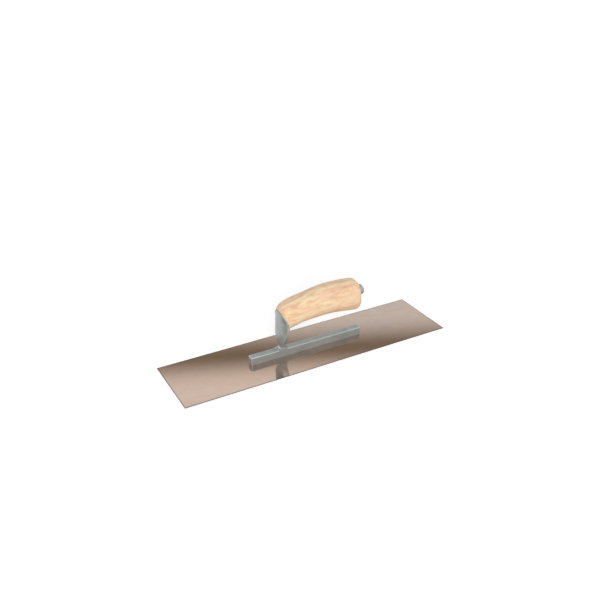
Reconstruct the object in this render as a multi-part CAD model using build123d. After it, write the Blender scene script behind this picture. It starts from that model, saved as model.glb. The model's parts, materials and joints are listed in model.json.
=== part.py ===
from build123d import *
import math
import os

# Plain-edged finishing trowel: a sheet blade riveted under a cast mounting, and a camel-back
# wooden handle that one long bolt holds against the mounting's collar.
# Millimetres. Z is up and the blade's underside is z = 0. X runs along the blade, and the
# handle's free end with its bolt head is on +X. The origin is the middle of the blade.

# ---- blade
blade_length = 406.4
blade_width = 101.6
blade_thickness = 0.8

# ---- bar of the mounting, drafted so that it leaves its mould
bar_length = 175.0
bar_centre_x = -1.5
bar_foot_width = 11.4
bar_top_width = 10.4
bar_height = 11.0
bar_edge_radius = 1.6

# ---- joint between the wood and the collar: an oval on a plane that leans forward at the top
joint_x = -38.6
joint_z = 56.7
joint_lean = 24.0
joint_half_height = 15.3
joint_half_width = 16.6
joint_power = 1.97

# ---- shield of the mounting, with a crowned front face, from the bar up to the joint.
# A level is (height above the bar's top, front face x, half width, depth, rear half width).
# The face narrows to a rib at the foot, and the lowest levels spread into a toe on the bar.
shield_levels = [
    (-0.8, -48.0, 4.6, 15.5, 4.8),
    (1.4, -44.8, 3.2, 11.5, 4.8),
    (4.7, -43.4, 3.4, 9.2, 4.8),
    (9.2, -44.2, 6.4, 10.2, 4.8),
    (15.7, -44.9, 10.8, 12.3, 5.2),
    (24.2, -44.5, 14.8, 13.1, 6.4),
    (31.2, -43.7, 16.6, 12.4, 7.6),
    (37.2, -43.6, 17.8, 11.4, 9.0),
]
face_crown_radius = 55.0

# ---- collar: the shield's upper half follows the joint's oval, and thins towards the top.
# A share runs from 0 at the joint's middle to 1 at its top. Above its ledge, which lies under
# the joint's middle, the shield stops at the joint.
collar_shares = [0.0, 0.25, 0.45, 0.62, 0.76, 0.87, 0.95, 0.99]
collar_proud = 0.3
collar_middle_thickness = 5.0
collar_top_thickness = 1.0
collar_overlap = 2.5
ledge_drop = 10.7

# ---- pad on the bar, under the shield's foot
pad_x = -40.2
pad_length = 17.5
pad_rise = 1.2
pad_corner_radius = 2.5
pad_edge_radius = 0.6

# ---- bolt, through the handle into the collar
bolt_rise = 6.7
bolt_diameter = 7.9
bolt_head_flats = 12.7
bolt_head_height = 6.8
bolt_head_crown = 30.0
bolt_crown_diameter = 12.1
bolt_reach = 1.6
bolt_hole_clearance = 0.35
thread_clearance = 0.05
thread_spare = 1.0
washer_diameter = 16.0
washer_thickness = 1.6

# ---- handle: a rounded shoulder behind the joint, then upright stations.
# A station is (x, underside height, top height, half width).
handle_length = 119.8
shoulder_depth = 5.0
shoulder_rise = 1.6
shoulder_half_height = 18.6
shoulder_half_width = 17.1
handle_stations = [
    (-18.0, 46.4, 85.4, 17.4),
    (10.0, 49.1, 90.5, 17.5),
    (45.0, 48.1, 93.0, 17.8),
    (80.0, 43.4, 90.1, 17.6),
    (100.0, 42.0, 84.5, 15.6),
]
handle_power = 2.3
section_points = 24
handle_end_radius = 9.0
handle_mouth_radius = 1.0

# ---- spigot that keys the handle on the collar
spigot_length = 7.0
spigot_width = 14.0
spigot_height = 19.0
spigot_clearance = 0.25

# ---- rivets
rivet_count = 7
rivet_end_margin = 10.0
rivet_diameter = 4.0
rivet_head_diameter = 6.4
rivet_depth = 7.0
rivet_clearance = 0.05
rivet_hole_spare = 0.5

# ---- sizes that follow
bar_left = bar_centre_x - bar_length / 2
bar_top_z = blade_thickness + bar_height
rivet_pitch = (bar_length - 2 * rivet_end_margin) / (rivet_count - 1)
rivet_places = [bar_left + rivet_end_margin + i * rivet_pitch for i in range(rivet_count)]
bolt_length = handle_length + washer_thickness + bolt_reach
past_everything = 2 * handle_length


def leaning_plane(lean):
    """A plane through the middle of the joint whose normal points backwards and leans up."""
    normal = (math.cos(math.radians(lean)), 0, math.sin(math.radians(lean)))
    return Plane(origin=(joint_x, 0, joint_z), x_dir=(0, 1, 0), z_dir=normal)


joint_plane = leaning_plane(joint_lean)
bolt_plane = leaning_plane(bolt_rise)
handle_end_plane = bolt_plane.offset(handle_length)
head_plane = handle_end_plane.offset(washer_thickness)


def rod(plane, diameter, length):
    """A round bar that starts on a plane and runs along its normal."""
    return plane * Cylinder(diameter / 2, length, align=(Align.CENTER, Align.CENTER, Align.MIN))


def block(plane, width, height, length):
    """A block that starts on a plane and runs along its normal."""
    return plane * Box(width, height, length, align=(Align.CENTER, Align.CENTER, Align.MIN))


def behind(plane):
    """All the space on the side of a plane that its normal points to."""
    return block(plane, past_everything, past_everything, past_everything)


def oval(plane, half_width, half_height, power):
    """A closed superellipse on a plane."""
    points = []
    for i in range(section_points):
        angle = 2 * math.pi * i / section_points
        across = math.copysign(abs(math.cos(angle)) ** (2 / power), math.cos(angle))
        upward = math.copysign(abs(math.sin(angle)) ** (2 / power), math.sin(angle))
        points.append(plane.from_local_coords((half_width * across, half_height * upward, 0)))
    return make_face(Wire(Edge.make_spline(points, periodic=True)))


def handle_outside():
    """The grip's outside, from the joint back past its other end."""
    shoulder_middle = joint_plane.from_local_coords((0, shoulder_rise, shoulder_depth))
    shoulder_plane = Plane(shoulder_middle, x_dir=joint_plane.x_dir, z_dir=joint_plane.z_dir)
    sections = [
        oval(joint_plane, joint_half_width, joint_half_height, joint_power),
        oval(shoulder_plane, shoulder_half_width, shoulder_half_height, joint_power),
    ]
    for x, low, high, half_width in handle_stations:
        upright = Plane(origin=(x, 0, (low + high) / 2), x_dir=(0, 1, 0), z_dir=(1, 0, 0))
        sections.append(oval(upright, half_width, (high - low) / 2, handle_power))
    return loft(sections)


def shield_section(height, front_x, half_width, depth, rear_half_width):
    """One level of the shield: a crowned front, flat sides, and a flat back."""
    edge_x = front_x + half_width**2 / (2 * face_crown_radius)
    back_x = front_x + depth
    near = (edge_x, -half_width, height)
    far = (edge_x, half_width, height)
    back_far = (back_x, rear_half_width, height)
    back_near = (back_x, -rear_half_width, height)
    front = ThreePointArc(near, (front_x, 0, height), far)
    return make_face(Wire([front.edge(), *Polyline(far, back_far, back_near, near).edges()]))


def collar_level(share):
    """A level of the shield's upper half, worked out from the joint's oval."""
    lean = math.radians(joint_lean)
    up_the_joint = share * joint_half_height
    half_width = joint_half_width * (1 - share**joint_power) ** (1 / joint_power) + collar_proud
    edge_setback = half_width**2 / (2 * face_crown_radius)
    thinning = (collar_middle_thickness - collar_top_thickness) * share
    thickness = collar_middle_thickness - thinning
    front_x = joint_x - up_the_joint * math.sin(lean) - thickness
    depth = max(thickness, edge_setback) + collar_overlap
    return joint_z + up_the_joint * math.cos(lean), front_x, half_width, depth, half_width


def make_shield():
    """The arm and collar in one, from the bar to the top of the joint."""
    levels = [(bar_top_z + rise, *rest) for rise, *rest in shield_levels]
    levels += [collar_level(share) for share in collar_shares]
    return loft([shield_section(*level) for level in levels])


def make_bar():
    """The bar: drafted sides, with its upper and end edges rounded."""
    outline = Polyline(
        (-bar_foot_width / 2, blade_thickness),
        (bar_foot_width / 2, blade_thickness),
        (bar_top_width / 2, bar_top_z),
        (-bar_top_width / 2, bar_top_z),
        close=True,
    )
    left_end = Plane(origin=(bar_left, 0, 0), x_dir=(0, 1, 0), z_dir=(1, 0, 0))
    bar = extrude(left_end * make_face(outline), bar_length)
    kept_sharp = bar.faces().sort_by(Axis.Z)[0].edges()
    rounded = [edge for edge in bar.edges() if edge not in kept_sharp]
    return fillet(rounded, bar_edge_radius)


def make_pad():
    """The low pad that stands on the bar, as wide as its top, with its upper edge rounded."""
    outline = RectangleRounded(pad_length, bar_top_width, pad_corner_radius)
    pad = extrude(Location((pad_x, 0, blade_thickness)) * outline, bar_height + pad_rise)
    top = pad.faces().sort_by(Axis.Z)[-1]
    return fillet(top.edges(), pad_edge_radius)


def make_mounting(grip):
    """The casting: bar, pad, shield and spigot in one, with its tapped hole and rivet holes."""
    above_ledge = behind(Plane(origin=(0, 0, joint_z - ledge_drop)))
    shield = make_shield() - grip - (behind(joint_plane) & above_ledge)
    spigot = block(joint_plane, spigot_width, spigot_height, spigot_length)
    casting = make_bar() + make_pad() + shield + spigot
    hole_end = bolt_plane.offset(-bolt_reach - thread_spare)
    casting -= rod(hole_end, bolt_diameter + 2 * thread_clearance, past_everything)
    for x in rivet_places:
        seat = Plane(origin=(x, 0, blade_thickness))
        casting -= rod(seat, rivet_diameter + 2 * rivet_clearance, rivet_depth + rivet_hole_spare)
    return casting


def make_handle(grip):
    """The wooden grip, cut at both ends, rounded at its back, bored and recessed."""
    body = grip - behind(handle_end_plane)
    front_face = body.faces().sort_by(Axis.X)[0]
    body = fillet(front_face.edges(), handle_mouth_radius)
    end_face = body.faces().sort_by(Axis.X)[-1]
    body = fillet(end_face.edges(), handle_end_radius)
    recess = block(joint_plane, spigot_width + 2 * spigot_clearance,
                   spigot_height + 2 * spigot_clearance, spigot_length + spigot_clearance)
    bore = rod(bolt_plane, bolt_diameter + 2 * bolt_hole_clearance, past_everything)
    return body - recess - bore


def make_washer():
    """The plain washer between the wood and the bolt's head."""
    hole = rod(handle_end_plane, bolt_diameter + 2 * bolt_hole_clearance, washer_thickness)
    return rod(handle_end_plane, washer_diameter, washer_thickness) - hole


def make_bolt():
    """The long bolt: a shank from the collar to the washer, and a crowned hexagon head."""
    shank = rod(head_plane.offset(-bolt_length), bolt_diameter, bolt_length)
    hexagon = RegularPolygon(bolt_head_flats / 2, 6, major_radius=False)
    crown_spread = bolt_head_height / math.tan(math.radians(bolt_head_crown))
    crown = head_plane * Cone(bolt_crown_diameter / 2 + crown_spread, bolt_crown_diameter / 2,
                              bolt_head_height, align=(Align.CENTER, Align.CENTER, Align.MIN))
    return shank + (extrude(head_plane * hexagon, bolt_head_height) & crown)


def countersunk(x, spare, length):
    """A flush-headed rivet at x, made larger all round by a clearance."""
    foot = Plane(origin=(x, 0, 0))
    head = foot * Cone(rivet_head_diameter / 2 + spare, rivet_diameter / 2 + spare, blade_thickness,
                       align=(Align.CENTER, Align.CENTER, Align.MIN))
    return head + rod(foot, rivet_diameter + 2 * spare, length)


def make_blade():
    """The flat sheet, with one countersunk hole for each rivet."""
    sheet = Box(blade_length, blade_width, blade_thickness,
                align=(Align.CENTER, Align.CENTER, Align.MIN))
    for x in rivet_places:
        sheet -= countersunk(x, rivet_clearance, blade_thickness)
    return sheet


os.makedirs("parts", exist_ok=True)
grip = handle_outside()
nodes = {
    "blade": make_blade(),
    "mounting": make_mounting(grip),
    "handle": make_handle(grip),
    "handle_washer": make_washer(),
    "handle_bolt": make_bolt(),
}
for number, x in enumerate(rivet_places, start=1):
    nodes[f"blade_rivet_{number}"] = countersunk(x, 0, blade_thickness + rivet_depth)
for name, shape in nodes.items():
    export_step(shape, f"parts/{name}.step")
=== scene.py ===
import json
import math

import bpy
from mathutils import Matrix, Vector


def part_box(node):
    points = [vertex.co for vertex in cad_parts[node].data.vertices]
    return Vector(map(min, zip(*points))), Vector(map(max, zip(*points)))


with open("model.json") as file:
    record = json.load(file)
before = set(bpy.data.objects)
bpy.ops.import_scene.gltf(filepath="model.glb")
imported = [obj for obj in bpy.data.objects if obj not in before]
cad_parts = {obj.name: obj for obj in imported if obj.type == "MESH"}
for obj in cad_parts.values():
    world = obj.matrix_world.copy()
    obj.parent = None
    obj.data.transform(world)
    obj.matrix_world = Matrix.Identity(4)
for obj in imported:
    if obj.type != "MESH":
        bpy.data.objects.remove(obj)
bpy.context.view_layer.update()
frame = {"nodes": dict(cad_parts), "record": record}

# Lengths are metres, in the frame of the CAD model: X along the blade, Z up, the blade's underside
# at z = 0. Angles are degrees, and the camera's lens and sensor are millimetres.

# ---- camera: where it looks from, and how far beside and above the origin it aims
CAMERA_AZIMUTH = -29.53
CAMERA_ELEVATION = 28.24
CAMERA_ROLL = 0.31
CAMERA_DISTANCE = 1.0289
CAMERA_AIM_RIGHT = -0.0098
CAMERA_AIM_UP = 0.0670
CAMERA_LENS = 43.73
CAMERA_SENSOR = 36.0

# ---- colours
WHITE = (1.0, 1.0, 1.0)
FAINT_SHADE = (0.95, 0.945, 0.94)
# painted shade: the dark grey along the blade's rim
RIM_SHADE_GREY = (0.23, 0.215, 0.20)
# bright casting edges: partly wear, partly a painted highlight
WORN_AND_HIGHLIT_ALUMINIUM = (0.80, 0.83, 0.83)
FLOOR_WHITE = (0.9, 0.9, 0.9)

# ---- finish, and painted light: shade along the blade's rim, a highlight on the casting's edges
# How wide the blade's painted rim shade is.
BLADE_RIM = 0.0012
# How squarely a surface faces an axis, as a cosine, where the bright edges (wear, and a painted highlight)
# start and where they are full.
WEAR_AND_HIGHLIGHT_START = 0.90
WEAR_AND_HIGHLIGHT_FULL = 0.76

# ---- studio
FLOOR_SIZE = 12.0
FLOOR_GAP = 0.0003
FLOOR_GLOW = 0.37
WORLD_LIGHT = 0.43
# A lamp is (direction that its light comes from, how wide it looks, strength).
KEY_LAMP = ((-1.3, -2.3, 1.2), 32.0, 1.8)
FILL_LAMP = ((1.0, -1.0, 1.8), 40.0, 0.35)
FLAT_COUNT = 4
FLAT_DISTANCE = 4.0
FLAT_WIDTH = 7.0
FLAT_TURN = 22.0
FLAT_FOOT = (0.80, 0.84, 0.86)
FLAT_BAND = (0.19, 0.145, 0.095)
FLAT_TOP = (0.3, 0.3, 0.3)
# What the flats show, from their foot up: (angle that a ray to that height rises at, colour).
FLAT_TONES = [
    (24.0, FLAT_FOOT),
    (30.1, FLAT_FOOT),
    (31.2, (0.52, 0.51, 0.49)),
    (32.2, FLAT_BAND),
    (32.8, FLAT_BAND),
    (34.5, (0.88, 0.86, 0.84)),
    (36.0, WHITE),
    (37.0, (0.9, 0.9, 0.9)),
    (40.0, FLAT_TOP),
    (58.0, FLAT_TOP),
]

# ---- a Mix node's sockets for colours
MIX_SHARE, MIX_FIRST, MIX_SECOND = 0, 6, 7
MIX_RESULT = 2


def material(name):
    """A new node material, with its node tree and shader."""
    mat = bpy.data.materials.new(name)
    mat.use_nodes = True
    tree = mat.node_tree
    return mat, tree, tree.nodes["Principled BSDF"]


def feed(tree, socket, value):
    """Link an input to another node's output, or set it to a number, a vector or a colour."""
    if isinstance(value, bpy.types.NodeSocket):
        tree.links.new(value, socket)
    elif socket.type == "RGBA":
        socket.default_value = (*value, 1.0)
    else:
        socket.default_value = value


def node(tree, kind, inputs=None, **settings):
    """A new node with its settings, and with the inputs that are given by name or number."""
    made = tree.nodes.new(kind)
    for name, value in settings.items():
        setattr(made, name, value)
    for key, value in (inputs or {}).items():
        feed(tree, made.inputs[key], value)
    return made


def noise(tree, scale, detail, roughness=0.5, distortion=0.0, offset=(0.0, 0.0, 0.0)):
    """A noise over the object, with its own scale along each axis."""
    place = node(tree, "ShaderNodeTexCoord").outputs["Object"]
    stretched = node(tree, "ShaderNodeMapping", {"Vector": place, "Scale": scale, "Location": offset})
    made = node(tree, "ShaderNodeTexNoise", {
        "Vector": stretched.outputs["Vector"], "Scale": 1.0,
        "Detail": detail, "Roughness": roughness, "Distortion": distortion})
    return made.outputs["Fac"]


def ramp(tree, value, *stops):
    """A colour ramp with the given (position, colour) stops."""
    made = node(tree, "ShaderNodeValToRGB", {"Fac": value})
    elements = made.color_ramp.elements
    while len(elements) < len(stops):
        elements.new(0.5)
    for element, (position, colour) in zip(elements, stops):
        element.position = position
        element.color = (*colour, 1.0)
    return made.outputs["Color"]


def mix(tree, kind, share, first, second):
    """Two colours blended in the given way, with the second one's share."""
    made = node(tree, "ShaderNodeMix", {MIX_SHARE: share, MIX_FIRST: first, MIX_SECOND: second},
                data_type="RGBA", blend_type=kind)
    return made.outputs[MIX_RESULT]


def level(tree, value, low, high, low_in=0.0, high_in=1.0):
    """A value moved from one range to another."""
    made = node(tree, "ShaderNodeMapRange", {
        "Value": value, "From Min": low_in, "From Max": high_in, "To Min": low, "To Max": high})
    return made.outputs["Result"]


def bump(tree, shader, height, strength, distance, under=None):
    """Relief from a height value, over an earlier relief if one is given."""
    made = node(tree, "ShaderNodeBump", {"Height": height, "Strength": strength, "Distance": distance})
    if under is not None:
        feed(tree, made.inputs["Normal"], under)
    feed(tree, shader.inputs["Normal"], made.outputs["Normal"])
    return made.outputs["Normal"]


def calculate(tree, operation, *values):
    """The result of one arithmetic step on the given values."""
    return node(tree, "ShaderNodeMath", dict(enumerate(values)), operation=operation).outputs[0]


def largest(tree, found, *others):
    """The largest of the given values."""
    for other in others:
        found = calculate(tree, "MAXIMUM", found, other)
    return found


def rim(tree, box, width):
    """1 along a flat part's outline, seen from above, fading to 0 at a width inside it."""
    place = node(tree, "ShaderNodeTexCoord").outputs["Object"]
    split = node(tree, "ShaderNodeSeparateXYZ", {"Vector": place})
    shares = []
    for axis, name in enumerate("XY"):
        middle = (box[0][axis] + box[1][axis]) / 2
        half = (box[1][axis] - box[0][axis]) / 2
        offset = calculate(tree, "SUBTRACT", split.outputs[name], middle)
        distance = calculate(tree, "ABSOLUTE", offset)
        shares.append(level(tree, distance, 0.0, 1.0, half - width, half - width / 2))
    return largest(tree, *shares)


def worn_and_highlit_edges(tree, start, full):
    """1 where a surface faces none of the axes, as on a rounded edge, and 0 where it faces one."""
    normal = node(tree, "ShaderNodeTexCoord").outputs["Normal"]
    absolute = node(tree, "ShaderNodeVectorMath", {0: normal}, operation="ABSOLUTE")
    split = node(tree, "ShaderNodeSeparateXYZ", {"Vector": absolute.outputs["Vector"]})
    squareness = largest(tree, *[split.outputs[name] for name in "XYZ"])
    return level(tree, squareness, 0.0, 1.0, start, full)


def blade_steel():
    """Golden stainless sheet: mirror-like, finely brushed along its length, with painted grey shade along
    its rim.
    """
    mat, tree, shader = material("golden_stainless")
    bloom = noise(tree, (12.0, 30.0, 12.0), detail=3.0)
    clouds = noise(tree, (60.0, 90.0, 60.0), detail=4.0)
    streaks = noise(tree, (14.0, 1500.0, 14.0), detail=5.0, roughness=0.6)
    tone = ramp(tree, bloom, (0.32, (0.69, 0.525, 0.42)), (0.68, (0.66, 0.52, 0.445)))
    cloudy = ramp(tree, clouds, (0.3, FAINT_SHADE), (0.7, WHITE))
    fine = ramp(tree, streaks, (0.25, FAINT_SHADE), (0.75, WHITE))
    colour = mix(tree, "MULTIPLY", 1.0, mix(tree, "MULTIPLY", 1.0, tone, cloudy), fine)
    # painted shade: grey along the blade's outline and over its edges
    rim_shade = rim(tree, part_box("blade"), BLADE_RIM)
    colour = mix(tree, "MIX", rim_shade, colour, RIM_SHADE_GREY)
    feed(tree, shader.inputs["Base Color"], colour)
    feed(tree, shader.inputs["Metallic"], 1.0)
    feed(tree, shader.inputs["Roughness"], level(tree, streaks, low=0.05, high=0.08))
    bump(tree, shader, streaks, strength=0.03, distance=0.00002)
    return mat


def cast_aluminium():
    """Bare die casting: satin, slightly mottled, with a fine grain, and edges made bright by wear and by a
    painted highlight.
    """
    mat, tree, shader = material("cast_aluminium")
    mottle = noise(tree, (90.0, 90.0, 90.0), detail=3.0)
    grain = noise(tree, (1400.0, 1400.0, 1400.0), detail=3.0, roughness=0.7)
    tone = ramp(tree, mottle, (0.3, (0.35, 0.385, 0.385)), (0.7, (0.43, 0.465, 0.465)))
    # wear and painted highlight: edges that face none of the axes get a bright colour
    wear_and_highlight = worn_and_highlit_edges(tree, WEAR_AND_HIGHLIGHT_START, WEAR_AND_HIGHLIGHT_FULL)
    feed(tree, shader.inputs["Base Color"], mix(tree, "MIX", wear_and_highlight, tone, WORN_AND_HIGHLIT_ALUMINIUM))
    feed(tree, shader.inputs["Metallic"], 0.66)
    feed(tree, shader.inputs["Roughness"], level(tree, mottle, low=0.32, high=0.42))
    fine = bump(tree, shader, grain, strength=0.15, distance=0.00004)
    bump(tree, shader, mottle, strength=0.1, distance=0.0001, under=fine)
    return mat


def wood():
    """Pale hardwood with its grain along the handle, under a thin satin lacquer."""
    mat, tree, shader = material("pale_hardwood")
    broad = noise(tree, (14.0, 90.0, 90.0), detail=5.0, roughness=0.6, distortion=0.8)
    patches = noise(tree, (45.0, 120.0, 120.0), detail=4.0, roughness=0.6, distortion=1.2,
                    offset=(0.3, 0.1, 0.7))
    lines = noise(tree, (26.0, 520.0, 520.0), detail=6.0, roughness=0.65)
    pores = noise(tree, (260.0, 2600.0, 2600.0), detail=2.0)
    tone = ramp(tree, broad, (0.30, (0.96, 0.84, 0.60)), (0.48, (0.92, 0.73, 0.485)),
                (0.60, (0.87, 0.60, 0.41)), (0.75, (0.64, 0.41, 0.26)))
    blush = ramp(tree, patches, (0.35, WHITE), (0.55, (0.97, 0.86, 0.78)), (0.72, (0.80, 0.66, 0.58)))
    fine = ramp(tree, lines, (0.3, (0.84, 0.78, 0.72)), (0.58, WHITE))
    specks = ramp(tree, pores, (0.30, (0.72, 0.62, 0.52)), (0.40, WHITE))
    colour = mix(tree, "MULTIPLY", 0.8, tone, blush)
    colour = mix(tree, "MULTIPLY", 0.7, colour, fine)
    colour = mix(tree, "MULTIPLY", 0.5, colour, specks)
    feed(tree, shader.inputs["Base Color"], colour)
    feed(tree, shader.inputs["Roughness"], level(tree, lines, low=0.36, high=0.52))
    feed(tree, shader.inputs["Coat Weight"], 0.12)
    feed(tree, shader.inputs["Coat Roughness"], 0.25)
    bump(tree, shader, lines, strength=0.2, distance=0.0001)
    return mat


def bolt_steel():
    """Bright zinc plate, clouded in patches."""
    mat, tree, shader = material("zinc_plated_steel")
    cloud = noise(tree, (300.0, 300.0, 300.0), detail=5.0)
    tone = ramp(tree, cloud, (0.3, (0.38, 0.39, 0.40)), (0.7, (0.62, 0.63, 0.64)))
    feed(tree, shader.inputs["Base Color"], tone)
    feed(tree, shader.inputs["Metallic"], 1.0)
    feed(tree, shader.inputs["Roughness"], level(tree, cloud, low=0.12, high=0.22))
    bump(tree, shader, cloud, strength=0.2, distance=0.00005)
    return mat


def rivet_steel():
    """Steel made flush with the blade by grinding, with its grinding marks."""
    mat, tree, shader = material("ground_rivet_steel")
    marks = noise(tree, (60.0, 3000.0, 60.0), detail=4.0)
    tone = ramp(tree, marks, (0.3, (0.42, 0.40, 0.38)), (0.7, (0.58, 0.55, 0.52)))
    feed(tree, shader.inputs["Base Color"], tone)
    feed(tree, shader.inputs["Metallic"], 1.0)
    feed(tree, shader.inputs["Roughness"], level(tree, marks, low=0.25, high=0.4))
    bump(tree, shader, marks, strength=0.2, distance=0.00003)
    return mat


def dress_frame():
    """Every CAD node gets its slot's material."""
    makers = {"blade_steel": blade_steel, "cast_aluminium": cast_aluminium, "wood": wood,
              "bolt_steel": bolt_steel, "rivet_steel": rivet_steel}
    made = {slot: maker() for slot, maker in makers.items()}
    for part in frame["record"]["subparts"]:
        mesh = frame["nodes"][part["node"]].data
        mesh.materials.clear()
        mesh.materials.append(made[part["material_slot"]])


def seen_directly(tree):
    """1 for rays that show the background: those from the camera, and mirrored or bent ones."""
    path = node(tree, "ShaderNodeLightPath")
    return largest(tree, *[path.outputs[f"Is {kind} Ray"] for kind in ("Camera", "Glossy", "Transmission")])


def make_world():
    """A white surround, which lights the object less strongly than it shows."""
    world = bpy.data.worlds.new("studio")
    world.use_nodes = True
    bpy.context.scene.world = world
    tree = world.node_tree
    background = tree.nodes["Background"]
    feed(tree, background.inputs["Color"], WHITE)
    feed(tree, background.inputs["Strength"], level(tree, seen_directly(tree), WORLD_LIGHT, 1.0))


def stage_mesh(name, corners):
    """A one-face mesh that belongs to the studio."""
    mesh = bpy.data.meshes.new(name)
    mesh.from_pydata(corners, [], [tuple(range(len(corners)))])
    made = bpy.data.objects.new(name, mesh)
    bpy.context.collection.objects.link(made)
    return made


def make_floor():
    """A plain white floor that keeps the object's shadow."""
    half = FLOOR_SIZE / 2
    corners = [(x, y, -FLOOR_GAP) for x, y in ((-half, -half), (half, -half), (half, half), (-half, half))]
    floor = stage_mesh("studio_floor", corners)
    mat, tree, shader = material("white_floor")
    feed(tree, shader.inputs["Base Color"], FLOOR_WHITE)
    feed(tree, shader.inputs["Roughness"], 1.0)
    feed(tree, shader.inputs["Specular IOR Level"], 0.0)
    feed(tree, shader.inputs["Emission Color"], WHITE)
    feed(tree, shader.inputs["Emission Strength"], level(tree, seen_directly(tree), 0.0, FLOOR_GLOW))
    floor.data.materials.append(mat)


def flat_height(angle):
    """How high on a flat a ray from the object lands that rises at this angle."""
    return FLAT_DISTANCE * math.tan(math.radians(angle))


def make_flats():
    """Tall flats around the set, pale with a dark band and a grey top, seen only in glossy surfaces."""
    mat = bpy.data.materials.new("banded_flat")
    mat.use_nodes = True
    tree = mat.node_tree
    tree.nodes.clear()
    place = node(tree, "ShaderNodeTexCoord").outputs["Object"]
    split = node(tree, "ShaderNodeSeparateXYZ", {"Vector": place})
    low, high = flat_height(FLAT_TONES[0][0]), flat_height(FLAT_TONES[-1][0])
    along = level(tree, split.outputs["Z"], 0.0, 1.0, low, high)
    band = ramp(tree, along, *[((flat_height(angle) - low) / (high - low), tone)
                               for angle, tone in FLAT_TONES])
    glow = node(tree, "ShaderNodeEmission", {"Color": band})
    node(tree, "ShaderNodeOutputMaterial", {"Surface": glow.outputs["Emission"]})
    half = FLAT_WIDTH / 2
    for number in range(FLAT_COUNT):
        turn = Matrix.Rotation(math.radians(360.0 / FLAT_COUNT * number - FLAT_TURN), 3, "Z")
        corners = [turn @ Vector((x, FLAT_DISTANCE, z))
                   for x, z in ((-half, low), (half, low), (half, high), (-half, high))]
        flat = stage_mesh(f"studio_flat_{number + 1}", corners)
        flat.data.materials.append(mat)
        flat.visible_camera = False
        flat.visible_diffuse = False
        flat.visible_shadow = False


def make_lamp(name, direction, width, strength):
    """A wide soft sun, which lights the whole floor evenly and which metal doesn't mirror."""
    lamp = bpy.data.lights.new(name, "SUN")
    lamp.energy = strength
    lamp.angle = math.radians(width)
    made = bpy.data.objects.new(name, lamp)
    bpy.context.collection.objects.link(made)
    made.rotation_mode = "QUATERNION"
    made.rotation_quaternion = (-Vector(direction)).to_track_quat("-Z", "Y")
    made.visible_glossy = False


def make_camera():
    """The camera, from its direction, distance and aim."""
    azimuth, elevation = math.radians(CAMERA_AZIMUTH), math.radians(CAMERA_ELEVATION)
    back = Vector((math.sin(azimuth) * math.cos(elevation),
                   -math.cos(azimuth) * math.cos(elevation), math.sin(elevation)))
    level_right = Vector((math.cos(azimuth), math.sin(azimuth), 0.0))
    level_up = back.cross(level_right)
    roll = math.radians(CAMERA_ROLL)
    right = math.cos(roll) * level_right + math.sin(roll) * level_up
    up = back.cross(right)
    data = bpy.data.cameras.new("camera")
    data.sensor_width = CAMERA_SENSOR
    data.lens = CAMERA_LENS
    camera = bpy.data.objects.new("camera", data)
    bpy.context.collection.objects.link(camera)
    place = right * CAMERA_AIM_RIGHT + up * CAMERA_AIM_UP + back * CAMERA_DISTANCE
    turn = Matrix((right, up, back)).transposed().to_4x4()
    camera.matrix_world = Matrix.Translation(place) @ turn
    bpy.context.scene.camera = camera


make_camera()
make_world()
make_floor()
make_flats()
make_lamp("key", *KEY_LAMP)
make_lamp("fill", *FILL_LAMP)
dress_frame()
bpy.context.scene.view_settings.view_transform = "Standard"
